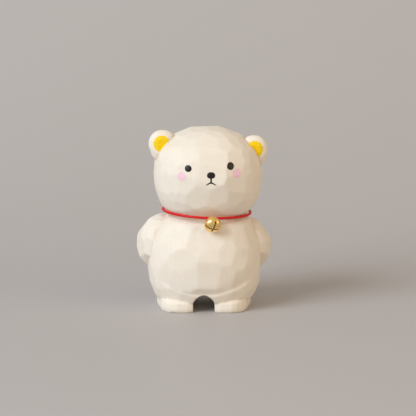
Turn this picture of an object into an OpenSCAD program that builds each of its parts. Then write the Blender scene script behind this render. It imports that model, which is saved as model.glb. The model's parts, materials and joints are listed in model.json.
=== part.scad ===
// Small bear whittled from one block of wood, with painted features,
// a red cord round its neck and a brass jingle bell on the cord.
// Millimetres. The bear stands on z = 0 and faces -Y; left and right are as seen from in front.

/* [Figure] */
// Height from the soles to the crown
figure_h = 84; // [60:1:120]
// Knife cuts that shape the head
head_cuts = 170; // [80:10:240]
// Knife cuts that shape the belly
belly_cuts = 170; // [80:10:240]
// Knife cuts on each ear, arm and foot
limb_cuts = 60; // [30:5:120]
// How far the knife wanders from an even spacing, as a share of the blank's radius
cut_wander = 0.09; // [0:0.01:0.2]
// How much deeper than the round surface a cut may go
cut_depth = 0.35; // [0:0.05:1]

/* [Head] */
// Width of the head without its ears
head_w = 49.8; // [40:0.2:60]
// Depth of the head from face to nape
head_d = 48; // [38:0.2:58]
// Height of the head, taken down to where the neck hides it
head_h = 45.4; // [40:0.2:60]
// How far the head sits to the right of the feet
head_shift = 2; // [-4:0.1:4]
// Radius of an ear
ear_r = 6.5; // [4:0.1:9]
// Thickness of an ear from front to back
ear_t = 7.6; // [4:0.1:10]
// Slope of the line through the ears, down to the right
ear_roll = 3.4; // [-8:0.1:8]

/* [Face] */
// Distance between the centres of the eyes
eye_gap = 19.2; // [14:0.1:26]
// Diameter of an eye
eye_d = 3; // [2:0.1:5]
// Height of the middle of the eyes above the feet
eye_z = 68.4; // [60:0.1:76]
// Slope of the lines through the eyes and the cheeks, up to the right
face_roll = 3.3; // [-8:0.1:8]
// Width of the nose
nose_w = 3.6; // [2:0.1:6]
// Height of the nose
nose_h = 2.9; // [2:0.1:5]
// Width of the painted mouth
mouth_w = 4.1; // [3:0.1:8]
// Width of the painted mouth line
mouth_line = 0.6; // [0.3:0.05:1]
// Diameter of a cheek spot
cheek_d = 4.2; // [3:0.1:7]
// Thickness of a coat of paint
coat_t = 0.25; // [0.15:0.05:0.5]

/* [Body] */
// Width of the belly between the arms
belly_w = 52.2; // [44:0.2:62]
// Depth of the belly from front to back
belly_d = 46.8; // [38:0.2:56]
// Height of the belly, taken down to where the feet and the neck hide it
belly_h = 50; // [44:0.5:54]
// Distance across both arms
arm_span = 61.8; // [54:0.2:72]
// Distance across both feet
feet_w = 41; // [34:0.2:50]
// Length of a foot from toe to heel
foot_l = 36.6; // [28:0.5:44]
// Height of the ledge where the feet come out from under the belly
foot_h = 4.8; // [3:0.1:8]
// Width of the arch between the legs
arch_w = 9.9; // [6:0.1:14]
// Height of the arch between the legs
arch_h = 8.3; // [5:0.1:10]

/* [Neck cord] */
// Thickness of the red cord
cord_d = 1.3; // [0.8:0.1:2]
// Radius of the ring that the cord's middle makes
cord_ring_r = 20.2; // [17:0.1:23]
// Height of the middle of the ring
neck_z = 44.5; // [38:0.1:50]
// How far the ring's middle lies to the right of the feet
neck_x = 1.3; // [-4:0.1:4]
// How far the bell's weight pulls the ring forward in its groove
cord_pull = 0.45; // [0:0.05:0.8]
// Slope of the cord down towards the front
cord_pitch = 0; // [-4:0.5:10]
// Slope of the cord down to the right
cord_roll = 2.5; // [-6:0.5:6]
// Radius of the neck at the bottom of the groove
neck_r = 18.9; // [16:0.1:22]

/* [Bell] */
// Diameter of the bell
bell_d = 7.9; // [6:0.1:11]
// Height of the bell's shell
bell_h = 5.8; // [5:0.1:8]
// Thickness of the brass
shell_t = 0.35; // [0.2:0.05:0.6]
// Thickness of the bell's wire loop
wire_d = 0.6; // [0.4:0.05:1]
// Width of the slots in the bell's mouth
slot_w = 0.6; // [0.3:0.05:1.2]
// Diameter of the ball in the bell
pellet_d = 2.5; // [1.5:0.1:3.5]
// Angle round the neck from the bear's front to the bell
bell_turn = 7.1; // [-20:0.1:20]
// Angle of the resting bell from straight down, as it leans on the chest
bell_lean = 51; // [0:0.5:90]
// Angle of the crossed slots round the bell's axis
slot_turn = 15; // [0:1:45]

/* [Hidden] */

$fn = 48;
slack = 0.15;          // play between pieces that move on each other
through = 60;          // longer than any hole that runs right through
squareness = 2.35;     // 2 makes a blank round, more makes it squarish

// Where the middle of the whole piece, bell included, puts the feet
stand_x = 0;
stand_y = 0.62;

// A ball is [centre, half sizes]; a blank is a list of balls stretched over with one skin
skull = [[head_shift, -0.3, figure_h - head_h / 2], [head_w, head_d, head_h] / 2];
muzzle = [skull[0] + [1.4, -head_d * 0.3, 0], [10.5, 10.6, 9.5]];
head_blank = [skull, muzzle];

belly = [[0.4, -0.6, 21.5], [belly_w, belly_d, belly_h] / 2];
hips = [belly[0] - [0, 0, 4.5], [belly_w * 0.487, belly_d * 0.485, 21.3]];
shoulders = [[neck_x, 0.6, neck_z - 4.2], [20.6, 19.8, 4]];
belly_blank = [belly, hips, shoulders];

function across(side, spot) = [side * spot[0], spot[1], spot[2]];

ear_out = 21;                             // from the middle of the head to the middle of an ear
ear_z = figure_h - 9.3;
function ear_centre(side) =
    skull[0] + [side * ear_out * cos(ear_roll), -2.2, ear_z - skull[0][2] - side * ear_out * sin(ear_roll)];
// An ear is a round that runs a little way down the side of the head
function ear_blank(side) = [
    [ear_centre(side), [ear_r, ear_t / 2, ear_r]],
    [ear_centre(side) - [side * 0.5, 0, ear_r * 0.52], [ear_r * 0.85, ear_t / 2, ear_r * 0.85]]
];
inner_ear_r = ear_r * 0.585;
inner_ear_turn = 54.5;                    // from straight down to the way its straight side faces

upper_arm = [[arm_span / 2 - 13.7, 2.6, 27.9], [12.2, 12, 14]];
outer_arm = [[arm_span / 2 - 9.2, 5.5, 27.7], [9.2, 8, 8.9]];
elbow = [[20.5, 10, 28.4], [7.5, 7.5, 7.3]];
paw = [[8, 20.2, 22.6], [5.6, 5, 5.4]];
arm_drop = 0.7;                           // how far the right arm hangs lower, and the left one higher
function arm_blank(side) =
    [for (b = [upper_arm, outer_arm]) [across(side, b[0]) - [0, 0, side * arm_drop], b[1]]];
function forearm_blank(side) = [for (b = [elbow, paw]) [across(side, b[0]), b[1]]];

foot = [[feet_w / 4, -0.3, 3.5], [feet_w / 4, foot_l / 2, 9]];
function foot_blank(side) = [[across(side, foot[0]), foot[1]]];

// The painted features, in a plane that stands in front of the face
face_x = head_shift + 0.5;
nose_at = [face_x + 0.8, eye_z - 3.5];
mouth_drop = 3.2;                         // from the middle of the nose to the parting of the lips
mouth_at = nose_at - [0, mouth_drop];
cheek_gap = eye_gap * 1.36;
cheek_z = eye_z - 4.2;

cord_r = cord_d / 2;
groove_h = cord_r + slack * 2;            // half the height of the groove's upright floor
lip_r = neck_r + 2.6;
upper_lip = groove_h + 0.9;
lower_lip = groove_h + 1.3;
flare = 2;                                // how far the groove opens beyond its lips
knot_r = 1.25;
tail_l = 4.5;
tail_spread = 28;

bell_r = bell_d / 2;
cap_z = bell_h / 2;                       // the bell's flat cap above its middle
cap_r = bell_r * 0.6;
waist_z = bell_r * 0.15;                  // where the widest part of the bell ends
mouth_r = bell_r * 1.27;                  // curve of the flattened mouth
mouth_up = mouth_r - cap_z;
slot_top = -1.1;
slot_end_r = slot_w * 0.8;                // round hole at the end of a slot
loop_r = cord_r + slack + wire_d / 2;     // middle of the wire round the cord
hang = cap_z + cord_r + slack;            // middle of the cord above the bell's middle
// Where the ball's middle lies below the bell's, so that the ball just clears the mouth's wall
pellet_room = mouth_r - shell_t - slack - pellet_d / 2;
pellet_orbit = sqrt(pow(pellet_room, 2) - pow(mouth_up * sin(bell_lean), 2)) - mouth_up * cos(bell_lean);

wood = [0.95, 0.91, 0.83];
yellow = [0.98, 0.82, 0.12];
black = [0.09, 0.08, 0.08];
pink = [0.96, 0.78, 0.86];
red = [0.84, 0.10, 0.12];
brass = [0.88, 0.68, 0.30];
steel = [0.66, 0.66, 0.68];

// ---- Whittling -------------------------------------------------------------------------------

function unit(v) = v / norm(v);

// Even directions over a ball, laid along a golden spiral
golden_angle = 137.508;
function spiral(i, n) =
    let (up = 1 - (2 * i + 1) / n, out = sqrt(1 - up * up), turn = golden_angle * i)
    [out * cos(turn), out * sin(turn), up];

// Distance from the origin to the plane that touches a squarish ball on the side facing d
function touch(ball, d) =
    let (q = squareness / (squareness - 1), s = ball[1])
    ball[0] * d + pow(pow(abs(s[0] * d[0]), q) + pow(abs(s[1] * d[1]), q) + pow(abs(s[2] * d[2]), q), 1 / q);

// What a straight cut leaves: all that lies less than depth along d from origin
module cut_side(d, depth, origin) {
    size = 2 * figure_h;
    translate(origin)
        rotate([0, acos(d[2]), atan2(d[1], d[0])])
            translate([-size / 2, -size / 2, depth - size])
                cube(size);
}

// A blank cut round by straight knife strokes, grown outwards by the thickness of a coat
module whittled(blank, cuts, seed, grow = 0) {
    middle = blank[0][0];
    hand = rands(-1, 1, 4 * cuts, seed);
    hull()
        intersection_for (i = [0 : cuts - 1]) {
            d = unit(spiral(i, cuts) + cut_wander * [hand[4 * i], hand[4 * i + 1], hand[4 * i + 2]]);
            reach = max([for (ball = blank) touch(ball, d)]);
            cut_side(d, reach - middle * d - cut_depth * abs(hand[4 * i + 3]) + grow, middle);
        }
}

module head(grow = 0) whittled(head_blank, head_cuts, 11, grow);

module ear(side, grow = 0) whittled(ear_blank(side), limb_cuts, 21 + side, grow);

module on_stand() translate([stand_x, stand_y, 0]) children();

// ---- The wood --------------------------------------------------------------------------------

module below(z) translate([-figure_h, -figure_h, z - 2 * figure_h]) cube(2 * figure_h);

module above(z) translate([-figure_h, -figure_h, z]) cube(2 * figure_h);

module leg_arch() {
    r = arch_w / 2;
    translate([0, through / 2, arch_h - r]) rotate([90, 0, 0]) cylinder(r = r, h = through);
    translate([-r, -through / 2, -1]) cube([arch_w, through, arch_h - r + 1]);
}

// Tilted frame of the neck: its Z axis is the one that the cord turns on
module at_neck() translate([neck_x, 0, neck_z]) rotate([cord_pitch, cord_roll, 0]) children();

// The same, moved forward to the middle of the cord's own ring
module at_ring() at_neck() translate([0, -cord_pull, 0]) children();

module neck_groove() {
    edge_r = neck_r + 10;
    at_neck()
        rotate_extrude()
            polygon([
                [neck_r, -groove_h], [neck_r, groove_h], [lip_r, upper_lip],
                [edge_r, upper_lip + flare], [edge_r, -lower_lip - flare], [lip_r, -lower_lip]
            ]);
}

module carved_body() color(wood) on_stand()
    difference() {
        union() {
            head();
            for (side = [-1, 1]) ear(side);
            difference() {
                whittled(belly_blank, belly_cuts, 31);
                below(foot_h);
            }
            for (side = [-1, 1]) {
                whittled(arm_blank(side), limb_cuts, 41 + side);
                whittled(forearm_blank(side), limb_cuts, 51 + side);
                difference() {
                    whittled(foot_blank(side), limb_cuts, 61 + side);
                    above(foot_h + 3);
                }
            }
        }
        below(0);
        leg_arch();
        neck_groove();
    }

// ---- Paint -----------------------------------------------------------------------------------

// A coat of paint on the face, as far as the outline drawn in the children reaches
module face_coat(spot, turn = 0) on_stand()
    difference() {
        intersection() {
            head(coat_t);
            translate([spot[0], 0, spot[1]]) rotate([90, turn, 0]) linear_extrude(figure_h / 2) children();
        }
        head();
    }

// Middle of a feature that lies out from the middle of the face, on the tilted face line
function on_face(side, gap, z) = [
    face_x + side * gap / 2 * cos(face_roll), z + side * gap / 2 * sin(face_roll)
];

module eye(side) color(black) face_coat(on_face(side, eye_gap, eye_z)) circle(d = eye_d);

module cheek(side) color(pink) face_coat(on_face(side, cheek_gap, cheek_z)) circle(d = cheek_d);

module eye_left() eye(-1);
module eye_right() eye(1);
module cheek_left() cheek(-1);
module cheek_right() cheek(1);

module nose_outline(grow = 0) scale([1, nose_h / nose_w]) circle(d = nose_w + grow);

module nose() color(black) face_coat(nose_at) nose_outline();

module stroke(from, to) hull() for (p = [from, to]) translate(p) circle(d = mouth_line, $fn = 12);

module mouth() color(black) face_coat(mouth_at)
    difference() {
        bend = [mouth_w * 0.22, -0.55];
        tip = [mouth_w / 2, -0.85];
        union() {
            stroke([0, 0], [0, mouth_drop - nose_h / 2]);
            for (side = [-1, 1]) {
                stroke([0, 0], [side * bend[0], bend[1]]);
                stroke([side * bend[0], bend[1]], [side * tip[0], tip[1]]);
            }
        }
        translate([0, mouth_drop]) nose_outline(0.1);
    }

// The yellow inside of an ear: a round whose straight side runs along the head
module inner_ear(side) color(yellow) on_stand()
    difference() {
        intersection() {
            ear(side, coat_t);
            translate(ear_centre(side) + [side * 0.35, 0, 0.45])
                rotate([90, 0, 0])
                    linear_extrude(ear_t)
                        difference() {
                            circle(r = inner_ear_r);
                            rotate(-90 - side * inner_ear_turn - ear_roll)
                                translate([0.38 * inner_ear_r, -inner_ear_r])
                                    square(2 * inner_ear_r);
                        }
        }
        ear(side);
        head(coat_t);
    }

module inner_ear_left() inner_ear(-1);
module inner_ear_right() inner_ear(1);

// ---- Cord ------------------------------------------------------------------------------------

module cord_ring(r) rotate_extrude() translate([cord_ring_r, 0]) circle(r = r);

module neck_cord() color(red) on_stand() at_ring() cord_ring(cord_r);

// The tied ends at the nape
module cord_knot() color(red) on_stand()
    at_ring()
        difference() {
            translate([0, cord_ring_r + cord_r, 0]) {
                sphere(r = knot_r);
                for (side = [-1, 1])
                    translate([side * 0.5, 0.3, 0])
                        rotate([205, side * tail_spread, 0])
                            cylinder(r = cord_r * 0.9, h = tail_l);
            }
            cord_ring(cord_r + 0.02);
        }

// ---- Bell ------------------------------------------------------------------------------------

// Frame at the bell's middle, its Z axis pointing up to the loop
module at_bell() on_stand()
    at_ring()
        rotate([0, 0, bell_turn])
            translate([0, -cord_ring_r, 0])
                rotate([-bell_lean, 0, 0])
                    translate([0, 0, -hang])
                        children();

// The shell's outside, or its inside one wall further in: a flattened ball that tapers to a cap
module bell_form(wall = 0) rotate_extrude()
    intersection() {
        circle(r = bell_r - wall);
        translate([0, mouth_up]) circle(r = mouth_r - wall);
        polygon([
            [0, -bell_r], [bell_r - wall, -bell_r], [bell_r - wall, waist_z],
            [cap_r - wall, cap_z - wall], [0, cap_z - wall]
        ]);
    }

// One slot right across the mouth, with a round hole at each end
module slot() {
    translate([-bell_d, -slot_w / 2, -bell_d]) cube([2 * bell_d, slot_w, bell_d + slot_top]);
    translate([-bell_d, 0, slot_top]) rotate([0, 90, 0]) cylinder(r = slot_end_r, h = 2 * bell_d);
}

module bell_shell() color(brass) at_bell()
    difference() {
        bell_form();
        bell_form(shell_t);
        for (turn = [0, 90]) rotate([0, 0, turn + slot_turn]) slot();
        for (side = [-1, 1])
            translate([0, side * loop_r, 0]) cylinder(d = wire_d + 0.06, h = bell_d);
    }

// A staple of brass wire: round the cord, through the shell, ends spread inside
module bell_loop() color(brass) at_bell() {
    foot_z = cap_z - shell_t - wire_d / 2 - 0.05;
    translate([0, 0, hang])
        rotate([90, 0, 90])
            rotate_extrude(angle = 180) translate([loop_r, 0]) circle(d = wire_d);
    for (side = [-1, 1])
        translate([0, side * loop_r, foot_z]) {
            cylinder(d = wire_d, h = hang - foot_z);
            sphere(d = wire_d);
            rotate([side * 90, 0, 0]) cylinder(d = wire_d, h = loop_r * 0.8);
        }
}

// The ball lies at the lowest point of the leaning bell
module bell_pellet() color(steel) at_bell()
    rotate([bell_lean, 0, 0]) translate([0, 0, -pellet_orbit]) sphere(d = pellet_d);

carved_body();
inner_ear_left();
inner_ear_right();
eye_left();
eye_right();
nose();
mouth();
cheek_left();
cheek_right();
neck_cord();
cord_knot();
bell_shell();
bell_loop();
bell_pellet();
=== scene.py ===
"""Looks of a small bear whittled from wood: painted face, red neck cord and brass jingle bell.

Shapes are built in millimetres above the middle of the feet, then placed in the CAD frame in metres.
Left and right are as seen from in front of the bear, which faces -Y.
"""

import json
import math

import bmesh
import bpy
import numpy as np
from mathutils import Matrix, Vector
from mathutils.bvhtree import BVHTree


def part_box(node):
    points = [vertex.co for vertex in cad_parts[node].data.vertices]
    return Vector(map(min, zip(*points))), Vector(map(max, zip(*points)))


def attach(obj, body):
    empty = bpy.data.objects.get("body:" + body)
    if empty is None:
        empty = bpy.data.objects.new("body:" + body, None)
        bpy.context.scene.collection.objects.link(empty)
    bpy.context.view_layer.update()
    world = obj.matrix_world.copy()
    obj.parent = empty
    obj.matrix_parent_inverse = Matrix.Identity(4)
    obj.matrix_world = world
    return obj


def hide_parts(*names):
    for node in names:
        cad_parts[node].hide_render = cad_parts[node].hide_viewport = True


MM = 0.001

# ---- Driving dimensions, in millimetres -------------------------------------------------------

FEET = Vector((0.0, 0.62, 0.0))     # where the middle of the feet stands in the CAD frame
SQUARE = 2.35                       # 2 makes a blank round, more makes it squarish
SOFTNESS = 500                      # higher leaves sharper edges between the strokes
VOXEL = 0.4                         # fineness of the carved skin
BALL_DETAIL = 7                     # how many times a blank's ball is divided
FAR = 60.0                          # further than the figure reaches to any side

HEAD_X = 2.0                        # the head sits a little to the right
HEAD_Z = 61.3
EYE_GAP = 19.2
EYE_R = 1.52
EYE_TALL = {"left": 1.02, "right": 1.16}    # height over width
EYE_LEAN = math.radians(20)
EYE_Z = 68.2
FACE_X = HEAD_X + 0.5
FACE_ROLL = math.radians(3.3)       # the line through the eyes rises to the right
NOSE_AT = (HEAD_X + 1.3, EYE_Z - 3.5)
NOSE_R = (1.85, 1.45)               # half its width and half its height
MOUTH_DROP = 3.2                    # from the middle of the nose
MOUTH_W = 4.6
MOUTH_LINE = 0.8
CHEEK_GAP = 1.31 * EYE_GAP
CHEEK_Z = EYE_Z - 3.65
CHEEK_R = 2.15
CHEEK_FADE = 0.55                   # soft rim of a cheek spot
PAINT = {"eye": 0.3, "nose": 0.42, "mouth": 0.1, "cheek": 0.035, "ear": 0.07}     # thickness
PAINT_SINK = 0.12                   # how deep the underside of the paint lies in the wood

EAR_R = 6.5
EAR_OUT = 21.0                      # from the middle of the head
EAR_ROLL = math.radians(3.4)        # the line through the ears falls to the right
EAR_Y = -2.5
EAR_Z = 74.7
EAR_THICK = 3.8                     # half the depth of an ear
EAR_HOLLOW = 0.5
INNER_EAR_R = 3.8
INNER_EAR_OUT = 0.35                # the paint sits further out and higher than the ear's middle
INNER_EAR_UP = 0.45
SKULL_STEP = 1.6                    # the paint ends where the skull comes this far in front of it

NECK = Vector((1.3, 0.0, 44.5))     # middle of the groove that the cord lies in
NECK_R = 18.9                       # radius of the groove's floor
CORD_R = 0.65
CORD_RING_R = 20.2
CORD_ROOM = 0.3                     # between the cord and each wall of its groove
BELL_R = 3.95
BELL_H = 5.8
BELL_WALL = 0.35
SLOT_W = 0.6
SLOT_TOP = -1.1                     # height where the slots begin, below the waist
SLOT_TURN = math.radians(15)
PELLET_R = 1.25
WIRE_R = 0.3
LOOP_PLAY = 0.15                    # between the cord and the bell's loop
BELL_ROOM = 6.0                     # within this radius of the bell the chest keeps to the CAD surface

ARCH_R = 4.95
ARCH_H = 8.3
LEDGE_Z = 4.7                       # where the feet come out from under the thighs
SOLE_FLAT = 0.12                    # skin lower than this is pressed flat on the floor
SEAM_DEPTH = 0.35
SEAM_W = 0.8

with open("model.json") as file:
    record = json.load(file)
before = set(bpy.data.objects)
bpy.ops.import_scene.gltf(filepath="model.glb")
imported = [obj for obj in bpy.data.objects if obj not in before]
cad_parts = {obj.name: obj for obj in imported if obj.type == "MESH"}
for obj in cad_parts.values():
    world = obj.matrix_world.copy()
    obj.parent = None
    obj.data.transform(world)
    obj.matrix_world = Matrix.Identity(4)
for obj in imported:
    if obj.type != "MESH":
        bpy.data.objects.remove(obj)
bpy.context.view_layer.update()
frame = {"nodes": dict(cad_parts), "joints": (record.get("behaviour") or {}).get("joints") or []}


# ---- Mesh helpers -----------------------------------------------------------------------------


def piece(name, points, faces):
    """A mesh object from points in millimetres, in its own frame."""
    mesh = bpy.data.meshes.new(name)
    mesh.from_pydata([tuple(p) for p in points], [], [tuple(f) for f in faces])
    mesh.update()
    thing = bpy.data.objects.new(name, mesh)
    bpy.context.scene.collection.objects.link(thing)
    return thing


def to_bear(point):
    """A point of the CAD frame in metres, in millimetres above the middle of the feet."""
    return Vector(point) / MM - FEET


def settle(thing):
    """Turns an object's modifiers into its mesh."""
    graph = bpy.context.evaluated_depsgraph_get()
    mesh = bpy.data.meshes.new_from_object(thing.evaluated_get(graph))
    thing.modifiers.clear()
    old = thing.data
    thing.data = mesh
    bpy.data.meshes.remove(old)


def modify(thing, kind, **settings):
    """Adds one modifier with the given settings and applies it."""
    step = thing.modifiers.new(kind.lower(), kind)
    for name, value in settings.items():
        setattr(step, name, value)
    settle(thing)


def combine(thing, tool, operation):
    """Adds or cuts away a second closed mesh, which is used up."""
    modify(thing, "BOOLEAN", operation=operation, object=tool, solver="MANIFOLD")
    bpy.data.objects.remove(tool)


def smooth_shaded(thing, sharp_from=None):
    """Shades the faces smoothly, apart from edges sharper than an angle in degrees."""
    thing.data.shade_smooth()
    if sharp_from is not None:
        thing.data.set_sharp_from_angle(angle=math.radians(sharp_from))


def points_of(thing):
    """An object's mesh points as an array."""
    flat = np.empty(len(thing.data.vertices) * 3)
    thing.data.vertices.foreach_get("co", flat)
    return flat.reshape(-1, 3)


def set_points(thing, points):
    """Moves an object's mesh points to the rows of an array."""
    thing.data.vertices.foreach_set("co", np.asarray(points, float).ravel())
    thing.data.update()


def normals_of(thing):
    """The direction that an object's skin faces at each mesh point."""
    flat = np.empty(len(thing.data.vertices) * 3)
    thing.data.vertices.foreach_get("normal", flat)
    return flat.reshape(-1, 3)


def fix_normals(thing):
    """Turns every face of a closed mesh outwards."""
    work = bmesh.new()
    work.from_mesh(thing.data)
    bmesh.ops.recalc_face_normals(work, faces=work.faces)
    work.to_mesh(thing.data)
    work.free()


def tree_of(thing, place=Vector):
    """A search tree over an object's faces, each corner put in its place first."""
    corners = [place(v.co) for v in thing.data.vertices]
    return BVHTree.FromPolygons(corners, [tuple(p.vertices) for p in thing.data.polygons])


def smoothstep(value, low, high):
    """Rises smoothly from 0 at low to 1 at high."""
    share = np.clip((value - low) / (high - low), 0, 1)
    return share * share * (3 - 2 * share)


def joint(name):
    """The frame's row for one joint."""
    return next(j for j in frame["joints"] if j["name"] == name)


def finish_piece(thing, body, finish, nodes, place=Matrix.Identity(4)):
    """Scales a piece to metres, puts it in the CAD frame and hands it to its body."""
    thing.data.transform(Matrix.Scale(MM, 4) @ Matrix.Translation(FEET) @ place)
    thing.data.materials.clear()
    thing.data.materials.append(finish)
    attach(thing, body)
    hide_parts(*nodes)


# ---- Whittling --------------------------------------------------------------------------------


def facing(azimuth, elevation):
    """Unit vectors from degrees: azimuth 0 faces the viewer, 90 the right; elevation 90 is up."""
    around = np.radians(azimuth)
    up = np.radians(elevation)
    return np.stack([np.sin(around) * np.cos(up), -np.cos(around) * np.cos(up), np.sin(up)], axis=-1)


def strokes(rows, columns, seed, wander=0.22):
    """Facing directions of knife strokes laid round a blank in staggered rows."""
    hand = np.random.default_rng(seed)
    found = []
    for row in range(rows):
        elevation = -90 + 180 * (row + 0.5) / rows
        count = max(3, round(columns * math.cos(math.radians(elevation))))
        for column in range(count):
            turn = column + row % 2 / 2 + wander * hand.uniform(-1, 1)
            rise = elevation + wander * 180 / rows * hand.uniform(-1, 1)
            found.append(facing(360 * turn / count, rise))
    return np.array(found)


def round_grid(detail):
    """Points and faces of an even unit ball."""
    work = bmesh.new()
    bmesh.ops.create_icosphere(work, subdivisions=detail, radius=1)
    points = np.array([v.co for v in work.verts])
    faces = [[v.index for v in f.verts] for f in work.faces]
    work.free()
    return points / np.linalg.norm(points, axis=1, keepdims=True), faces


def reach(balls, directions, square):
    """How far the skin stretched over squarish balls reaches in each direction from the first's middle."""
    q = square / (square - 1)
    middle = np.array(balls[0][0], float)
    spans = []
    for centre, half in balls:
        bulge = (np.abs(directions * np.array(half, float)) ** q).sum(axis=1) ** (1 / q)
        spans.append(directions @ (np.array(centre, float) - middle) + bulge)
    return np.max(spans, axis=0)


def whittled(balls, directions, depth, seed, square=SQUARE, deeper=0.0):
    """A blank stretched over balls (centre, half sizes) and cut flat on the side facing each direction.

    Each cut's depth lies between the two numbers in depth, and deeper is added to it.
    """
    hand = np.random.default_rng(seed)
    low, high = depth
    flats = reach(balls, directions, square) - hand.uniform(low, high, len(directions)) - deeper
    rays, faces = round_grid(BALL_DETAIL)
    nearness = np.clip(rays @ directions.T / flats, 0, None)
    nearest = nearness.max(axis=1, keepdims=True)
    radius = 1 / nearest[:, 0] / ((nearness / nearest) ** SOFTNESS).sum(axis=1) ** (1 / SOFTNESS)
    return piece("blank", rays * radius[:, None] + np.array(balls[0][0]), faces)


def without(directions, centre, spread):
    """Leaves out the strokes that face within spread degrees of a direction."""
    return directions[directions @ facing(*centre) < math.cos(math.radians(spread))]


def mirrored(balls, side):
    """Balls given for the right side, on the side asked for."""
    return [((side * x, y, z), half) for (x, y, z), half in balls]


# Balls that the blanks are stretched over: centre, then half sizes
HEAD = [((HEAD_X, -0.3, HEAD_Z), (24.9, 24.0, 22.7)), ((3.4, -14.7, HEAD_Z), (10.5, 10.4, 9.5))]
BELLY = [
    ((0.4, -0.6, 21.5), (26.1, 23.4, 25.0)),
    ((0.4, -0.6, 17.0), (25.5, 22.7, 21.3)),
    ((1.3, 0.6, 40.3), (20.6, 19.8, 4.0)),
]
FOOT = [((10.2, -0.7, 2.6), (10.4, 19.9, 9.0))]
UPPER_ARM = [((17.2, 2.6, 27.9), (12.3, 12.0, 14.0)), ((21.7, 5.5, 27.7), (9.6, 8.0, 8.9))]
FOREARM = [((20.5, 10.0, 28.4), (7.5, 7.5, 7.3)), ((8.0, 20.2, 22.6), (5.6, 5.0, 5.4))]
ARM_DROP = 0.7                      # how far the right arm hangs lower, and the left one higher
CUFF = (52, -34)                    # azimuth and elevation of the facet at an upper arm's lower end

# Strokes on the face, as rows of (elevation, azimuths): one wider step in each row makes the ridge that
# runs down from the crown just right of the nose and turns back under the mouth
FACE_STROKES = [
    (68, (-65, -25, 17, 47, 80)),
    (53, (-68, -46, -24, -2, 20, 47, 66)),
    (39, (-72, -54, -36, -19, -2, 35, 53, 70)),
    (25, (-64, -47, -31, -15, 1, 29, 45, 61)),
    (11, (-71, -55, -39, -24, -10, 1, 27, 42, 58)),
    (-3, (-63, -47, -32, -17, -2, 31, 47, 63)),
    (-16, (-70, -55, -40, -26, -9, 6, 27, 41, 55, 69)),
    (-29, (-62, -47, -33, -18, 9, 24, 38, 52, 66)),
    (-42, (-70, -52, -36, -14, 4, 20, 36, 52, 68)),
]
FACE_SPREAD = 74                    # how far round the head the strokes on the face reach


def head():
    """The skull: chosen strokes on the face, even ones round the back, and a crown cut flatter."""
    hand = np.random.default_rng(4)
    unsteady = 2.5
    chosen = np.array([
        facing(azimuth + hand.uniform(-unsteady, unsteady), row + hand.uniform(-unsteady, unsteady))
        for row, turns in FACE_STROKES for azimuth in turns
    ])
    around = without(strokes(12, 26, 5), (0, 8), FACE_SPREAD)
    cuts = np.vstack([chosen, around])
    on_crown = cuts[:, 2] > math.sin(math.radians(47))
    on_right = cuts[:, 0] > 0.3
    crown_cut = 0.45
    more_on_right = 0.9
    return whittled(HEAD, cuts, (0.1, 0.4), 11, deeper=crown_cut * on_crown * (1 + more_on_right * on_right))


def ear_centre(side):
    """The middle of an ear."""
    return (
        HEAD_X + side * EAR_OUT * math.cos(EAR_ROLL),
        EAR_Y,
        EAR_Z - side * EAR_OUT * math.sin(EAR_ROLL),
    )


def ear(side):
    """A round ear that runs a little way down the side of the head, with a shallow hollow in front."""
    x, y, z = ear_centre(side)
    lobe_r = 0.85 * EAR_R
    lobe = ((x - side * 0.5, y, z - 0.52 * EAR_R), (lobe_r, EAR_THICK, lobe_r))
    blank = [((x, y, z), (EAR_R, EAR_THICK, EAR_R)), lobe]
    shape = whittled(blank, strokes(9, 22, 21 + side), (0, 0.1), 21 + side, 2.1)
    scoop_r = 9.0
    scoop, faces = round_grid(5)
    middle = np.array([x + side * INNER_EAR_OUT, y - EAR_THICK - scoop_r + EAR_HOLLOW, z + 0.2])
    combine(shape, piece("scoop", scoop * scoop_r + middle, faces), "DIFFERENCE")
    return shape


def all_below(height):
    """A block that fills the space under a height."""
    work = bmesh.new()
    bmesh.ops.create_cube(work, size=2 * FAR)
    points = np.array([v.co for v in work.verts]) + np.array([0, 0, height - FAR])
    faces = [[v.index for v in f.verts] for f in work.faces]
    work.free()
    return piece("block", points, faces)


def turned(profile, steps, place):
    """A closed ring turned round the Z axis from a closed profile of (radius, height) points."""
    count = len(profile)
    points = []
    faces = []
    for step in range(steps):
        angle = 2 * math.pi * step / steps
        for radius, height in profile:
            points.append(place @ Vector((radius * math.cos(angle), radius * math.sin(angle), height)))
        for corner in range(count):
            after = (corner + 1) % count
            here = step * count
            there = (step + 1) % steps * count
            faces.append((here + corner, there + corner, there + after, here + after))
    return piece("turned", points, faces)


def neck_tilt():
    """Turns the neck's own frame, whose Z axis the cord turns on, into the bear's."""
    axis = Vector(joint("collar_turn")["axis"])
    lean = Vector((0, 0, 1)).rotation_difference(axis).to_matrix().to_4x4()
    return Matrix.Translation(NECK) @ lean


def neck_cutter():
    """The V-shaped groove that the cord lies in: a narrow floor, then a lip that opens wide."""
    half = CORD_R + CORD_ROOM
    lip_r = NECK_R + 2.6
    open_r = NECK_R + 12
    profile = [
        (NECK_R, -half), (NECK_R, half), (lip_r, half + 0.9),
        (open_r, half + 3.5), (open_r, -half - 3.9), (lip_r, -half - 1.3),
    ]
    return turned(profile, 160, neck_tilt())


def arch_cutter():
    """The round-topped tunnel between the legs."""
    steps = 40
    arc = [math.pi * step / steps for step in range(steps + 1)]
    outline = [(ARCH_R * math.cos(a), ARCH_H - ARCH_R + ARCH_R * math.sin(a)) for a in arc]
    outline += [(-ARCH_R, -FAR), (ARCH_R, -FAR)]
    count = len(outline)
    points = [(x, y, z) for y in (-FAR, FAR) for x, z in outline]
    faces = [tuple(range(count)), tuple(reversed(range(count, 2 * count)))]
    faces += [(i, i + count, (i + 1) % count + count, (i + 1) % count) for i in range(count)]
    return piece("arch", points, faces)


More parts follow.
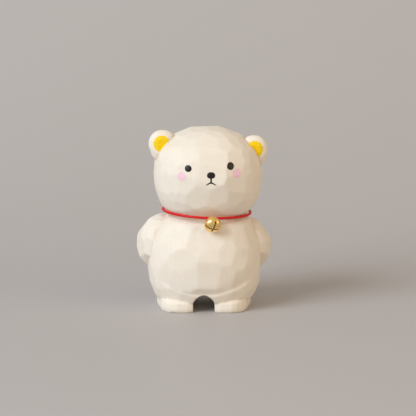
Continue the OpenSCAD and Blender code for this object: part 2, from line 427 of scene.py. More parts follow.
def belly():
    """The trunk, cut off flat where the feet begin."""
    shape = whittled(BELLY, strokes(12, 28, 33, wander=0.38), (0.0, 0.32), 31)
    combine(shape, all_below(LEDGE_Z), "DIFFERENCE")
    return shape


def arm(side, balls, seed, cuff_depth=None):
    """One half of an arm; cuff_depth is how deep its lower front end is cut, if it is."""
    dropped = [((x, y, z - side * ARM_DROP), half) for (x, y, z), half in mirrored(balls, side)]
    cuts = strokes(9, 16, seed + side)
    deeper = np.zeros(len(cuts))
    if cuff_depth is not None:
        cuts = np.vstack([cuts, facing(side * CUFF[0], CUFF[1])])
        deeper = np.append(deeper, cuff_depth)
    return whittled(dropped, cuts, (0, 0.25), seed, deeper=deeper)


def foot(side):
    """A foot that stands out a little from under the belly, with bevelled upper and lower edges."""
    around = 18
    rings = [(-14, 0.0), (7, 0.0), (44, 1.1), (-48, 1.2)]      # elevation and extra depth of the cuts
    cuts = np.array([facing(360 / around * k, elevation) for elevation, _ in rings for k in range(around)])
    deeper = np.repeat([extra for _, extra in rings], around)
    return whittled(mirrored(FOOT, side), cuts, (0, 0.25), 61 + side, 2.7, deeper=deeper)


def carved_shape():
    """The whole bear in one skin, and pairs of surfaces that meet in a seam."""
    shape = belly()
    trunk = tree_of(shape)
    seams = []
    for side in (-1, 1):
        upper = arm(side, UPPER_ARM, 41, cuff_depth=1.7 + 0.5 * side)
        seams.append((trunk, tree_of(upper)))
        for part in (upper, arm(side, FOREARM, 51), foot(side)):
            combine(shape, part, "UNION")
    skull = head()
    skull_tree = tree_of(skull)
    combine(shape, skull, "UNION")
    for side in (-1, 1):
        round_ear = ear(side)
        seams.append((skull_tree, tree_of(round_ear)))
        combine(shape, round_ear, "UNION")
    combine(shape, neck_cutter(), "DIFFERENCE")
    combine(shape, arch_cutter(), "DIFFERENCE")
    combine(shape, all_below(0), "DIFFERENCE")
    return shape, seams


def deepen_seams(shape, seams):
    """Runs the tip of the knife along each seam."""
    points = points_of(shape)
    sunk = np.zeros(len(points))
    for one, other in seams:
        for index, point in enumerate(points):
            here = Vector(point)
            near = one.find_nearest(here, 2 * SEAM_W)[3]
            if near is None:
                continue
            far = other.find_nearest(here, 2 * SEAM_W)[3]
            if far is not None:
                sunk[index] = max(sunk[index], math.exp(-((near + far) / SEAM_W) ** 2))
    set_points(shape, points - SEAM_DEPTH * sunk[:, None] * normals_of(shape))


def carve_belly_crease(shape):
    """The curved crease over the thighs: the belly tucks in gently to it, and the thighs come out steeply."""
    lowest = 8.8
    bend = 0.0145
    deepest = 0.55
    belly_w = 2.7
    thigh_w = 0.8
    points = points_of(shape)
    x, y, z = points.T
    above = (z - lowest - bend * x ** 2) / np.sqrt(1 + (2 * bend * x) ** 2)
    front = smoothstep(-y, 2, 9) * smoothstep(23 - np.abs(x), 0, 5) * smoothstep(z, LEDGE_Z, LEDGE_Z + 1.2)
    firm = 0.45 + 0.55 * smoothstep(x, -13, 1)
    width = np.where(above > 0, belly_w, thigh_w)
    depth = deepest * np.exp(-(above / width) ** 2) * front * firm
    set_points(shape, points - normals_of(shape) * depth[:, None])


def keep_inside_cad(shape, centre, radius):
    """Draws the skin back to the CAD surface near the bell, so that the bell has its room."""
    tree = tree_of(frame["nodes"]["carved_body"], to_bear)
    points = points_of(shape)
    away = np.linalg.norm(points - np.array(centre), axis=1)
    share = 1 - smoothstep(away, radius, radius * 1.8)
    for index in np.flatnonzero(share > 0):
        spot, normal, _, _ = tree.find_nearest(Vector(points[index]))
        gap = Vector(points[index]) - spot
        if gap.dot(normal) > 0:
            points[index] -= np.array(gap) * share[index]
    set_points(shape, points)


def flatten_soles(shape):
    """Presses the lowest skin flat on the floor."""
    points = points_of(shape)
    points[points[:, 2] < SOLE_FLAT, 2] = 0
    set_points(shape, points)


def mark_edges(shape):
    """Stores how ridged or creased the skin is at each point, for the painted highlight on ridges and the
    painted shade in creases.
    """
    points = points_of(shape)
    count = len(points)
    ends = np.empty(len(shape.data.edges) * 2, int)
    shape.data.edges.foreach_get("vertices", ends)
    a = ends[0::2]
    b = ends[1::2]
    joined = np.bincount(ends, minlength=count)
    normals = normals_of(shape)
    middle = np.stack([
        np.bincount(a, points[b, k], count) + np.bincount(b, points[a, k], count) for k in range(3)
    ], axis=1) / joined[:, None]
    ridge = ((points - middle) * normals).sum(axis=1) / VOXEL
    blur_steps = 3
    for _ in range(blur_steps):
        around = (np.bincount(a, ridge[b], count) + np.bincount(b, ridge[a], count)) / joined
        ridge = 0.5 * ridge + 0.5 * around
    layer = shape.data.attributes.new("ridge", "FLOAT", "POINT")
    layer.data.foreach_set("value", ridge.astype(np.float32))


# ---- Materials --------------------------------------------------------------------------------


class Shader:
    """A short way to write a node tree round one Principled shader."""

    def __init__(self, name):
        """Starts a material of this name with only the Principled shader in it."""
        self.material = bpy.data.materials.new(name)
        self.material.use_nodes = True
        self.tree = self.material.node_tree
        self.tree.nodes.clear()
        out = self.tree.nodes.new("ShaderNodeOutputMaterial")
        self.shader = self.tree.nodes.new("ShaderNodeBsdfPrincipled")
        self.tree.links.new(self.shader.outputs[0], out.inputs["Surface"])

    def node(self, kind, **inputs):
        """A new node with its inputs fed by name."""
        made = self.tree.nodes.new(kind)
        for name, value in inputs.items():
            self.feed(made.inputs[name.replace("_", " ")], value)
        return made

    def feed(self, socket, value):
        """Links a socket to another one, or sets it to a plain value."""
        if isinstance(value, bpy.types.NodeSocket):
            self.tree.links.new(value, socket)
        else:
            socket.default_value = value

    def coordinates(self, stretch=(1, 1, 1)):
        """Object coordinates in millimetres, stretched."""
        place = self.node("ShaderNodeTexCoord")
        scale = self.node("ShaderNodeMapping", Vector=place.outputs["Object"])
        scale.inputs["Scale"].default_value = [s / MM for s in stretch]
        return scale.outputs[0]

    def noise(self, scale, stretch=(1, 1, 1), detail=3.0, distortion=0.0):
        """Cloudy noise from 0 to 1, with its scale in steps per millimetre."""
        made = self.node("ShaderNodeTexNoise", Vector=self.coordinates(stretch), Scale=scale, Detail=detail)
        made.inputs["Distortion"].default_value = distortion
        return made.outputs["Fac"]

    def span(self, value, low, high, to_low=0.0, to_high=1.0):
        """Maps low to high smoothly onto to_low to to_high."""
        made = self.node("ShaderNodeMapRange")
        made.interpolation_type = "SMOOTHSTEP"
        self.feed(made.inputs["Value"], value)
        for name, number in zip(("From Min", "From Max", "To Min", "To Max"), (low, high, to_low, to_high)):
            self.feed(made.inputs[name], number)
        return made.outputs[0]

    def math(self, operation, a, b):
        """One sum on two values."""
        made = self.node("ShaderNodeMath")
        made.operation = operation
        self.feed(made.inputs[0], a)
        self.feed(made.inputs[1], b)
        return made.outputs[0]

    def mix(self, share, a, b):
        """Goes from one colour to the other as share goes from 0 to 1."""
        made = self.node("ShaderNodeMix")
        made.data_type = "RGBA"
        self.feed(made.inputs["Factor"], share)
        colour_inputs = (6, 7)
        colour_output = 2
        for socket, colour in zip(colour_inputs, (a, b)):
            linked = isinstance(colour, bpy.types.NodeSocket)
            self.feed(made.inputs[socket], colour if linked else (*colour, 1))
        return made.outputs[colour_output]

    def bump(self, height, strength, distance):
        """Fine relief, with the distance in millimetres."""
        made = self.node("ShaderNodeBump", Height=height, Strength=strength, Distance=distance * MM)
        self.tree.links.new(made.outputs[0], self.shader.inputs["Normal"])

    def set(self, **values):
        """Feeds the Principled shader's inputs by name."""
        for name, value in values.items():
            self.feed(self.shader.inputs[name.replace("_", " ")], value)


WASH = (0.86, 0.79, 0.69)
# Paler wash tone painted on ridges: a painted highlight
PAINTED_RIDGE_HIGHLIGHT = (0.89, 0.82, 0.71)
# Darker brown painted in creases: painted shade
PAINTED_CREASE_SHADE = (0.70, 0.58, 0.43)
WOOD_GRAIN = (0.80, 0.70, 0.575)


def wood_colour(s):
    """Thin white wash over pale wood: faint upright grain, cloudy cover, a painted highlight on ridges and
    painted shade in creases.
    """
    grain = s.span(s.noise(1.0, (1.5, 1.5, 0.07), detail=4, distortion=0.4), 0.5, 0.74)
    cloud = s.span(s.noise(0.16, detail=3), 0.35, 0.7)
    ridge = s.node("ShaderNodeAttribute")
    ridge.attribute_name = "ridge"
    # Painted highlight: ridges, taken from the skin's ridge value, are painted paler
    ridge_highlight = s.span(ridge.outputs["Fac"], 0.012, 0.06)
    # Painted shade: creases, taken from the skin's ridge value, are painted darker brown
    crease_shade = s.span(ridge.outputs["Fac"], -0.012, -0.09)
    colour = s.mix(s.math("MULTIPLY", grain, 0.42), WASH, WOOD_GRAIN)
    colour = s.mix(s.math("MULTIPLY", cloud, 0.22), colour, WOOD_GRAIN)
    # Painted highlight on the ridges
    colour = s.mix(s.math("MULTIPLY", ridge_highlight, 0.55), colour, PAINTED_RIDGE_HIGHLIGHT)
    # Painted shade in the creases
    return s.mix(s.math("MULTIPLY", crease_shade, 0.75), colour, PAINTED_CREASE_SHADE)


def wood_relief(s):
    """Fine pores along the grain, over the faint chatter of the blade."""
    pores = s.noise(1.0, (5.5, 5.5, 0.35), detail=3)
    chatter = s.noise(0.9, (1, 1, 1.6), detail=2)
    return s.math("ADD", s.math("MULTIPLY", pores, 0.5), chatter)


def limewashed_wood():
    """Bare carved wood under the wash."""
    s = Shader("limewashed_wood")
    s.set(Base_Color=wood_colour(s), Roughness=s.span(s.noise(0.8), 0.3, 0.7, 0.5, 0.66))
    s.set(Specular_IOR_Level=0.38)
    s.bump(wood_relief(s), 0.25, 0.12)
    return s.material


def yellow_paint():
    """Matt yellow with faint brush marks."""
    s = Shader("yellow_paint")
    marks = s.noise(1.4, (0.4, 0.4, 2.2), detail=3, distortion=0.3)
    s.set(Base_Color=s.mix(s.span(marks, 0.3, 0.72), (0.98, 0.69, 0.006), (0.90, 0.57, 0.004)))
    s.set(Roughness=s.span(marks, 0.3, 0.7, 0.6, 0.72), Specular_IOR_Level=0.25)
    s.bump(marks, 0.2, 0.08)
    return s.material


def black_paint():
    """Glossy black, a little brown where it is thin."""
    s = Shader("black_paint")
    marks = s.noise(2.2, detail=2)
    s.set(Base_Color=s.mix(s.span(marks, 0.5, 0.85), (0.008, 0.0065, 0.006), (0.05, 0.03, 0.022)))
    s.set(Roughness=s.span(marks, 0.3, 0.7, 0.32, 0.42), Specular_IOR_Level=0.35)
    s.bump(marks, 0.12, 0.05)
    return s.material


def cheek_pink(side, centre):
    """Pink dabbed on with a dry brush: full in the middle, speckled away to bare wood at the rim."""
    s = Shader("pink_paint_" + side)
    place = s.node("ShaderNodeTexCoord")
    offset = s.node("ShaderNodeVectorMath")
    offset.operation = "SUBTRACT"
    s.feed(offset.inputs[0], place.outputs["Object"])
    s.feed(offset.inputs[1], centre)
    flat = s.node("ShaderNodeVectorMath")
    flat.operation = "MULTIPLY"
    s.feed(flat.inputs[0], offset.outputs[0])
    s.feed(flat.inputs[1], (1 / MM, 0, 1 / MM))
    length = s.node("ShaderNodeVectorMath")
    length.operation = "LENGTH"
    s.feed(length.inputs[0], flat.outputs[0])
    speckle = s.math("MULTIPLY", s.math("SUBTRACT", s.noise(2.6, detail=3), 0.5), 1.5)
    out = s.math("ADD", length.outputs["Value"], speckle)
    cover = s.span(out, CHEEK_R - CHEEK_FADE, CHEEK_R + CHEEK_FADE * 0.6, 1, 0)
    tone = s.mix(s.span(s.noise(1.2), 0.3, 0.7), (0.88, 0.56, 0.66), (0.90, 0.63, 0.71))
    s.set(Base_Color=s.mix(cover, wood_colour(s), tone), Roughness=0.6, Specular_IOR_Level=0.35)
    s.bump(wood_relief(s), 0.25, 0.12)
    return s.material


def red_cord():
    """Waxed red cord with fine fibres along it."""
    s = Shader("red_cord")
    fibre = s.noise(3.2, (1, 1, 3), detail=4)
    s.set(Base_Color=s.mix(s.span(fibre, 0.3, 0.7), (0.74, 0.010, 0.012), (0.56, 0.006, 0.009)))
    s.set(Roughness=s.span(fibre, 0.3, 0.7, 0.42, 0.55), Specular_IOR_Level=0.3)
    s.bump(fibre, 0.25, 0.06)
    return s.material


def metal(name, bright, dull, roughness):
    """Polished metal with faint tarnish."""
    s = Shader(name)
    tarnish = s.span(s.noise(0.7, detail=4), 0.45, 0.75)
    s.set(Base_Color=s.mix(tarnish, bright, dull), Metallic=0.85)
    s.set(Roughness=s.span(s.noise(1.9, detail=3), 0.35, 0.7, roughness, roughness + 0.12))
    s.bump(s.noise(0.9, detail=2), 0.12, 0.15)
    return s.material


# ---- The bear ---------------------------------------------------------------------------------


wood = limewashed_wood()
bear, seams = carved_shape()
bear.name = "carved_wood"
modify(bear, "REMESH", mode="VOXEL", voxel_size=VOXEL)
modify(bear, "SMOOTH", factor=0.5, iterations=3)
deepen_seams(bear, seams)
carve_belly_crease(bear)
bell_middle = to_bear(joint("pellet_roll")["pos_m"])
keep_inside_cad(bear, bell_middle, BELL_ROOM)
flatten_soles(bear)
mark_edges(bear)
smooth_shaded(bear)
bear_tree = tree_of(bear)


# ---- Paint ------------------------------------------------------------------------------------


def dab(x, z):
    """Where a brush coming straight at the face meets the wood, and which way the wood faces there."""
    spot, normal, _, _ = bear_tree.ray_cast(Vector((x, -FAR, z)), Vector((0, 1, 0)))
    return spot, normal


def paint_film(rows, lift):
    """Upper and under points over rows of face positions; lift is the thickness at a row and a column."""
    tops = []
    unders = []
    for i, row in enumerate(rows):
        for j, (x, z) in enumerate(row):
            spot, normal = dab(x, z)
            tops.append(spot + normal * lift(i, j))
            unders.append(spot - normal * PAINT_SINK)
    return tops, unders


def round_film(name, centre, outline, thickness, rings=12, spokes=64, dome=2.0):
    """A film whose outline gives the radius at each angle; a higher dome keeps it flat nearer to its rim."""
    rows = []
    for ring in range(1, rings + 1):
        share = ring / rings
        angles = [2 * math.pi * s / spokes for s in range(spokes)]
        rows.append([
            (centre[0] + share * outline(a) * math.cos(a), centre[1] + share * outline(a) * math.sin(a))
            for a in angles
        ])
    rim = 0.15
    shares = [rim + (1 - rim) * math.sqrt(max(0.0, 1 - (k / rings) ** dome)) for k in range(1, rings + 1)]
    tops, unders = paint_film(rows, lambda i, j: thickness * shares[i])
    middle, normal = dab(*centre)
    count = rings * spokes
    points = tops + unders + [middle + normal * thickness, middle - normal * PAINT_SINK]
    faces = []
    for base, flip in ((0, False), (count, True)):
        for ring in range(rings - 1):
            for s in range(spokes):
                after = (s + 1) % spokes
                a = base + ring * spokes
                quad = (a + s, a + after, a + spokes + after, a + spokes + s)
                faces.append(quad if flip else quad[::-1])
        hub = 2 * count + (1 if flip else 0)
        for s in range(spokes):
            fan = (hub, base + (s + 1) % spokes, base + s)
            faces.append(fan if flip else fan[::-1])
    last = (rings - 1) * spokes
    for s in range(spokes):
        after = (s + 1) % spokes
        faces.append((last + after, last + s, count + last + s, count + last + after))
    film = piece(name, points, faces)
    fix_normals(film)
    smooth_shaded(film, 50)
    return film


def line_film(name, path, width, thickness):
    """A painted line along a path of (x, z, share of the width) points, thinning where the share falls."""
    across = 7
    rows = []
    for i, (x, z, share) in enumerate(path):
        before = path[max(i - 1, 0)]
        after = path[min(i + 1, len(path) - 1)]
        along = Vector((after[0] - before[0], after[1] - before[1])).normalized()
        side = Vector((-along.y, along.x))
        half = width * share / 2
        steps = [2 * k / (across - 1) - 1 for k in range(across)]
        rows.append([(x + side.x * half * t, z + side.y * half * t) for t in steps])
    middle = (across - 1) / 2
    edge = 0.2

    def rounded(row, column):
        return thickness * (edge + (1 - edge) * math.sqrt(max(0.0, 1 - ((column - middle) / middle) ** 2)))

    tops, unders = paint_film(rows, rounded)
    count = len(tops)
    faces = []
    for i in range(len(rows) - 1):
        for j in range(across - 1):
            a = i * across + j
            quad = (a, a + 1, a + across + 1, a + across)
            faces.append(quad)
            faces.append(tuple(c + count for c in quad[::-1]))
    rim = list(range(across))
    rim += [i * across + across - 1 for i in range(1, len(rows))]
    rim += [(len(rows) - 1) * across + j for j in range(across - 2, -1, -1)]
    rim += [i * across for i in range(len(rows) - 2, 0, -1)]
    for k, here in enumerate(rim):
        there = rim[(k + 1) % len(rim)]
        faces.append((here, there, there + count, here + count))
    film = piece(name, tops + unders, faces)
    fix_normals(film)
    smooth_shaded(film, 50)
    return film


def on_face(side, gap, z):
    """A feature's place on the line through the face that rises to the right."""
    return (FACE_X + side * gap / 2 * math.cos(FACE_ROLL), z + side * gap / 2 * math.sin(FACE_ROLL))


def hand_round(radius, wobble, seed, tall=1.0, lean=0.0):
    """The outline of a round spot painted by hand, tall times as high as it is wide."""
    hand = np.random.default_rng(seed)
    phases = hand.uniform(0, 2 * math.pi, 3)

    def outline(angle):
        uneven = 1 + wobble * sum(math.sin((k + 2) * angle + phases[k]) for k in range(3))
        return radius * uneven / math.hypot(math.cos(angle - lean), math.sin(angle - lean) / tall)

    return outline


def nose_outline(angle):
    """Wider than it is high, fuller at the top."""
    full = 1 + 0.05 * math.sin(angle)
    power = 2.3
    wide = abs(math.cos(angle) / NOSE_R[0]) ** power
    high = abs(math.sin(angle) / NOSE_R[1]) ** power
    return full * (wide + high) ** (-1 / power)


def inner_ear_outline(side):
    """A round with one straight side along the head."""
    straight_at = 0.38 * INNER_EAR_R
    straight_toward = math.radians(-90 - side * 54.5) - EAR_ROLL
    corner = 16                     # higher makes the corners sharper

    def outline(angle):
        toward = math.cos(angle - straight_toward)
        if toward < 1e-6:
            return INNER_EAR_R
        return (INNER_EAR_R ** -corner + (straight_at / toward) ** -corner) ** (-1 / corner)

    return outline


def short_of_skull(centre, outline):
    """The same outline, stopped where the skull comes forward beside the ear."""
    skull_y = dab(*centre)[0].y - SKULL_STEP
    step = 0.05

    def stopped(angle):
        radius = outline(angle)
        while dab(centre[0] + radius * math.cos(angle), centre[1] + radius * math.sin(angle))[0].y < skull_y:
            radius -= step
        return radius

    return stopped


def painted_eye(side, word):
    """A round black dab, a little taller than wide."""
    outline = hand_round(EYE_R, 0.012, 3 + side, EYE_TALL[word], EYE_LEAN)
    return round_film("painted_eye_" + word, on_face(side, EYE_GAP, EYE_Z), outline, PAINT["eye"])


def painted_ear(side, word):
    """The yellow inside of an ear."""
    x, _, z = ear_centre(side)
    spot = (x + side * INNER_EAR_OUT, z + INNER_EAR_UP)
    outline = short_of_skull(spot, inner_ear_outline(side))
    return round_film("painted_ear_" + word, spot, outline, PAINT["ear"], 16, 96, 8)


def painted_mouth():
    """A short stem down from the nose and two lips that fall away from it."""
    x = NOSE_AT[0]
    z = NOSE_AT[1] - MOUTH_DROP
    stem_h = MOUTH_DROP - NOSE_R[1] * 0.6
    stem = [(x, z + stem_h * (1 - k / 10), 0.95) for k in range(11)]
    mouth = line_film("painted_mouth", stem, MOUTH_LINE, PAINT["mouth"])
    fall = 1.2
    taper = 0.62
    steps = 14
    for side in (-1, 1):
        shares = [k / steps for k in range(steps + 1)]
        path = [(x + side * MOUTH_W / 2 * t, z - fall * t ** 1.2, 1.0 - taper * t) for t in shares]
        combine(mouth, line_film("lip", path, MOUTH_LINE, PAINT["mouth"]), "UNION")
    return mouth


black = black_paint()
yellow = yellow_paint()

for side, word in ((-1, "left"), (1, "right")):
    finish_piece(painted_eye(side, word), "figure", black, ["eye_" + word])

    spot = on_face(side, CHEEK_GAP, CHEEK_Z)
    cheek = round_film("painted_cheek_" + word, spot, lambda a: CHEEK_R + CHEEK_FADE, PAINT["cheek"], dome=6)
    pink = cheek_pink(word, (dab(*spot)[0] + FEET) * MM)
    finish_piece(cheek, "figure", pink, ["cheek_" + word])

    finish_piece(painted_ear(side, word), "figure", yellow, ["inner_ear_" + word])

nose = round_film("painted_nose", NOSE_AT, nose_outline, PAINT["nose"])
finish_piece(nose, "figure", black, ["nose"])
finish_piece(painted_mouth(), "figure", black, ["mouth"])
finish_piece(bear, "figure", wood, ["carved_body"])


# ---- Cord -------------------------------------------------------------------------------------


def tube(name, path, radius, around, closed, groove=0.04, pitch=3.0):
    """A twisted cord along a path of points; it is slightly lobed, as strands laid together are."""
    lobes = 3
    count = len(path)
    points = []
    faces = []
    length = 0.0
    total = sum((path[(i + 1) % count] - path[i]).length for i in range(count if closed else count - 1))
    turns = round(total / pitch)
    side = Vector((0, 0, 1))
    for i, here in enumerate(path):
        ahead = path[(i + 1) % count] if closed or i < count - 1 else here
        behind = path[i - 1] if closed or i > 0 else here
        along = (ahead - behind).normalized()
        side = (side - along * side.dot(along)).normalized()
        other = along.cross(side)
        twist = 2 * math.pi * turns * length / total
        for k in range(around):
            angle = 2 * math.pi * k / around
            r = radius * (1 - groove + groove * math.cos(lobes * (angle - twist / lobes)))
            points.append(here + (side * math.cos(angle) + other * math.sin(angle)) * r)
        length += (ahead - here).length
    for i in range(count if closed else count - 1):
        a = i * around
        b = (i + 1) % count * around
        for k in range(around):
            after = (k + 1) % around
            faces.append((a + k, a + after, b + after, b + k))
    if not closed:
        for end, at in ((0, path[0]), ((count - 1) * around, path[-1])):
            points.append(at)
            for k in range(around):
                faces.append((len(points) - 1, end + (k + 1) % around, end + k))
    cord = piece(name, points, faces)
    fix_normals(cord)
    smooth_shaded(cord, 60)
    return cord


# The cord's own ring, pulled a little forward in the groove by the bell
ring_middle = to_bear(joint("collar_turn")["pos_m"])
ring_frame = Matrix.Translation(ring_middle) @ neck_tilt().to_3x3().to_4x4()


def neck_cord():
    """The ring of cord round the neck."""
    steps = 480
    path = []
    for k in range(steps):
        angle = 2 * math.pi * k / steps
        path.append(ring_frame @ Vector((CORD_RING_R * math.sin(angle), -CORD_RING_R * math.cos(angle), 0)))
    return tube("neck_cord_waxed", path, CORD_R, 20, True)


KNOT_STRAND_R = 0.5
KNOT_PITCH = 2.4
knot_middle = Vector((0, CORD_RING_R + CORD_R + 0.95, 0))


def knot_tail(side):
    """A free end that comes out of the knot, aside, outward and down."""
    steps = 30
    path = []
    for k in range(steps + 1):
        t = k / steps
        aside = side * (0.3 + 2.6 * t ** 1.3)
        out = 0.2 + 1.6 * t - 0.5 * t * t
        down = 0.5 + 4.2 * t ** 1.2
        path.append(ring_frame @ (knot_middle + Vector((aside, out, -down))))
    return tube("tail", path, KNOT_STRAND_R * 1.05, 16, False, pitch=KNOT_PITCH)


def knot():
    """An overhand knot at the nape with two short ends."""
    size = 0.42
    steps = 150
    path = []
    for k in range(steps):
        t = 2 * math.pi * k / steps
        across = size * (math.sin(t) + 2 * math.sin(2 * t))
        up = size * (math.cos(t) - 2 * math.cos(2 * t))
        out = size * 1.1 * -math.sin(3 * t)
        path.append(ring_frame @ (knot_middle + Vector((across, out, up))))
    loops = tube("knot", path, KNOT_STRAND_R, 16, True, pitch=KNOT_PITCH)
    for side in (-1, 1):
        combine(loops, knot_tail(side), "UNION")
    smooth_shaded(loops, 50)
    return loops


red = red_cord()
finish_piece(neck_cord(), "collar", red, ["neck_cord"])
finish_piece(knot(), "collar", red, ["cord_knot"])


# ---- Bell -------------------------------------------------------------------------------------

# The bell's own frame: its Z axis points up to the loop, its X axis along the cord
bell_up = Vector(joint("pellet_roll")["axis"]).normalized()
bell_along = -Vector(joint("bell_swing")["axis"]).normalized()
bell_across = bell_up.cross(bell_along)
bell_turn = Matrix((bell_along, bell_across, bell_up)).transposed().to_4x4()
bell_frame = Matrix.Translation(bell_middle) @ bell_turn


def bell_profile():
    """Radius and height from the middle of the flat cap down over the waist to the mouth, finely stepped."""
    cap_z = BELL_H / 2
    cap_r = BELL_R * 0.6
    cap_steps = 6
    cap_edge = 0.08
    points = [(cap_r * k / cap_steps, cap_z - 0.1) for k in range(cap_steps)]
    points += [(cap_r * 0.95, cap_z), (cap_r, cap_z - cap_edge)]
    waist_z = -BELL_R * 0.12
    side_steps = 14
    for k in range(1, side_steps + 1):
        t = k / side_steps
        r = cap_r + (BELL_R - cap_r) * t + 0.24 * math.sin(math.pi * t)
        points.append((r, cap_z - cap_edge + (waist_z - cap_z + cap_edge) * t ** 1.1))
    widest = max(r for r, _ in points)
    points = [(r * BELL_R / widest, z) for r, z in points]
    waist_r = points[-1][0]
    bowl_steps = 36
    for k in range(1, bowl_steps + 1):
        a = math.pi / 2 * k / bowl_steps
        points.append((waist_r * math.cos(a) ** 0.8, waist_z + (-BELL_H / 2 - waist_z) * math.sin(a) ** 1.1))
    return points


def slot_half(r, z):
    """Half the slot's width at a height: a round hole at its upper end, then a straight cut."""
    hole = SLOT_W * 0.8
    centre = SLOT_TOP - hole
    if z > SLOT_TOP:
        return 0.0
    straight = SLOT_W / 2
    if z > centre - hole:
        return max(math.sqrt(max(0.0, hole ** 2 - (z - centre) ** 2)), straight if z < centre else 0.0)
    return straight


def pressed(z):
    """How deep the four folds between the petals are pressed at a height."""
    fall = (BELL_H / 2 - z) / (BELL_H / 2 + 0.6)
    return 0.055 * math.sin(math.pi * min(1.0, max(0.0, fall)))


def bell_shell():
    """Four petals that meet above the waist, with the crossed slots between them below it."""
    rows = bell_profile()
    petals = 4
    quarter = 2 * math.pi / petals
    per_petal = 24
    points = []
    faces = []
    index = {}
    for i, (r, z) in enumerate(rows):
        half = slot_half(r, z)
        if r < half * 1.5:
            continue
        margin = math.asin(min(1.0, half / r)) if r > 1e-6 else 0.0
        for petal in range(petals):
            for j in range(per_petal + 1):
                angle = quarter * petal + margin + (quarter - 2 * margin) * j / per_petal
                out = r * (1 - pressed(z) * (1 - abs(math.sin(2 * angle))))
                index[i, petal, j] = len(points)
                points.append((out * math.cos(angle + SLOT_TURN), out * math.sin(angle + SLOT_TURN), z))
    for i in range(len(rows) - 1):
        for petal in range(petals):
            for j in range(per_petal):
                corners = [(i, petal, j), (i, petal, j + 1), (i + 1, petal, j + 1), (i + 1, petal, j)]
                if all(c in index for c in corners):
                    faces.append([index[c] for c in corners])
    shell = piece("bell_brass", points, faces)
    work = bmesh.new()
    work.from_mesh(shell.data)
    bmesh.ops.remove_doubles(work, verts=work.verts, dist=1e-4)
    bmesh.ops.dissolve_degenerate(work, edges=work.edges, dist=1e-4)
    bmesh.ops.recalc_face_normals(work, faces=work.faces)
    work.to_mesh(shell.data)
    work.free()
    modify(shell, "SOLIDIFY", thickness=BELL_WALL, offset=-1.0)
    modify(shell, "BEVEL", width=0.07, segments=2, limit_method="ANGLE", angle_limit=math.radians(50))
    smooth_shaded(shell, 50)
    return shell


brass = metal("brass", (1.0, 0.71, 0.27), (0.86, 0.55, 0.17), 0.2)


def bell_loop():
    """The wire staple that holds the bell to the cord: two bent feet, two legs and a round top."""
    loop_r = CORD_R + LOOP_PLAY + WIRE_R
    top_z = BELL_H / 2 + CORD_R + LOOP_PLAY
    foot_z = BELL_H / 2 - BELL_WALL - WIRE_R - 0.05
    leg_z = foot_z + 0.35
    bend = [(1.7, 0.0), (1.35, 0.0), (1.08, 0.1)]      # share of the loop's radius, height over the foot
    leg = [Vector((0, loop_r * out, foot_z + up)) for out, up in bend]
    leg += [Vector((0, loop_r, leg_z + (top_z - leg_z) * k / 8)) for k in range(9)]
    arc = [math.pi * k / 24 for k in range(1, 24)]
    top = [Vector((0, loop_r * math.cos(a), top_z + loop_r * math.sin(a))) for a in arc]
    other_leg = [Vector((0, -p.y, p.z)) for p in reversed(leg)]
    return tube("bell_staple", leg + top + other_leg, WIRE_R, 16, False, groove=0.0)


finish_piece(bell_shell(), "bell", brass, ["bell_shell"], bell_frame)
finish_piece(bell_loop(), "bell", brass, ["bell_loop"], bell_frame)


def pellet():
    """The loose ball, a little out of round as cheap shot is."""
    low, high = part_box("bell_pellet")
    middle = to_bear((low + high) / 2)
    rays, faces = round_grid(4)
    hand = np.random.default_rng(9)
    dents = hand.normal(size=(12, 3))
    dents /= np.linalg.norm(dents, axis=1, keepdims=True)
    closeness = np.clip(rays @ dents.T, 0, 1) ** 16
    dent_depth = 0.015
    radius = PELLET_R * (1 - dent_depth * closeness.sum(axis=1))
    ball = piece("bell_ball", rays * radius[:, None] + np.array(middle), faces)
    smooth_shaded(ball)
    return ball


steel = metal("steel", (0.55, 0.55, 0.57), (0.36, 0.35, 0.34), 0.25)
finish_piece(pellet(), "pellet", steel, ["bell_pellet"])


# ---- Floor, light and camera ------------------------------------------------------------------


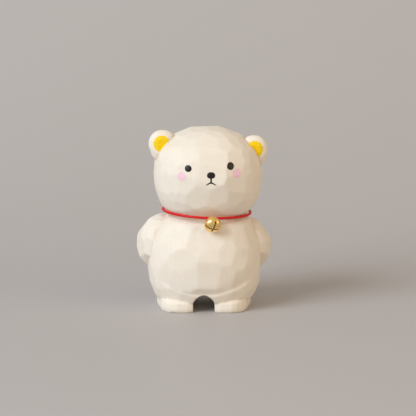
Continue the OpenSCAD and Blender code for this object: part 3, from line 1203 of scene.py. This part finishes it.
def sweep():
    """A pale floor that curves up into the backdrop, in metres."""
    bend_at = 0.10
    bend_r = 0.6
    bend_steps = 24
    front_y = -2.5
    top_z = 2.2
    half_w = 3.0
    line = [(front_y, 0.0), (0.0, 0.0), (bend_at, 0.0)]
    for k in range(1, bend_steps + 1):
        a = math.pi / 2 * k / bend_steps
        line.append((bend_at + bend_r * math.sin(a), bend_r * (1 - math.cos(a))))
    line.append((bend_at + bend_r, top_z))
    points = [(x, y, z) for y, z in line for x in (-half_w, half_w)]
    faces = [(2 * k, 2 * k + 1, 2 * k + 3, 2 * k + 2) for k in range(len(line) - 1)]
    floor = piece("floor", points, faces)
    smooth_shaded(floor)
    s = Shader("pale_floor")
    s.set(Base_Color=(0.498, 0.477, 0.475, 1), Roughness=0.6, Specular_IOR_Level=0.2)
    floor.data.materials.append(s.material)


def area_light(name, place, target, size, power, colour):
    """A round light that shines at a target; sizes and places are in metres."""
    data = bpy.data.lights.new(name, "AREA")
    data.shape = "DISK"
    data.size = size
    data.energy = power
    data.color = colour
    lamp = bpy.data.objects.new(name, data)
    lamp.location = place
    lamp.rotation_euler = (Vector(target) - Vector(place)).to_track_quat("-Z", "Y").to_euler()
    bpy.context.scene.collection.objects.link(lamp)


def lighting():
    """A large cool window from the upper left in front, and warm light from the room on the right."""
    look_at = Vector((0, 0, 0.045))
    key_away = 2.4
    toward_key = Vector(facing(-50, 32))
    area_light("key", look_at + key_away * toward_key, look_at, 1.6, 47, (0.80, 0.90, 1.0))
    area_light("warm_fill", (0.9, -0.5, 0.35), look_at, 0.8, 2.4, (1.0, 0.76, 0.5))
    world = bpy.data.worlds.new("studio")
    world.use_nodes = True
    backdrop = world.node_tree.nodes["Background"]
    backdrop.inputs["Color"].default_value = (1.0, 0.86, 0.68, 1)
    backdrop.inputs["Strength"].default_value = 0.54
    bpy.context.scene.world = world
    bpy.context.scene.view_settings.view_transform = "Standard"


def camera():
    """Looks down ten degrees at the figure from straight in front."""
    aim = (FEET + Vector((1.9, 0.0, 45.5))) * MM
    distance = 1.3
    elevation = math.radians(10)
    seen_width = 0.1926
    data = bpy.data.cameras.new("camera")
    data.sensor_width = 36
    data.lens = data.sensor_width * distance / seen_width
    data.clip_start = 0.01
    eye = bpy.data.objects.new("camera", data)
    eye.location = aim + distance * Vector((0, -math.cos(elevation), math.sin(elevation)))
    eye.rotation_euler = (aim - eye.location).to_track_quat("-Z", "Y").to_euler()
    bpy.context.scene.collection.objects.link(eye)
    bpy.context.scene.camera = eye


sweep()
lighting()
camera()
